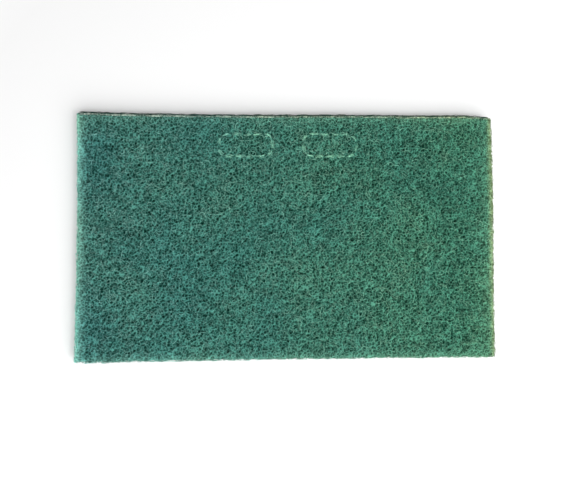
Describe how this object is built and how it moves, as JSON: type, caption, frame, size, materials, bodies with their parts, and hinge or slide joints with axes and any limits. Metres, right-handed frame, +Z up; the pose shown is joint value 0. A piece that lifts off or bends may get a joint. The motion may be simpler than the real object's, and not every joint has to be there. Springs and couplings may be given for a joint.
{
  "type": "floor scrubbing pad",
  "caption": "Rectangular pad of thick open non-woven web for scrubbing floors with a machine, with two perforated knock-out ovals near one long edge.",
  "frame": {"origin": "middle of the pad's underside, on the surface that it lies on", "axes": "+X along the pad, +Y across it towards the two perforated ovals, +Z up out of the face that the ovals are pressed into"},
  "size_m": [0.6112, 0.3574, 0.0254],
  "materials": {
    "web": "matt, coarse curly synthetic fibres bonded with green resin, with dark open pores between them"
  },
  "bodies": {
    "root": {"scrub_pad": "web"}
  },
  "joints": []
}
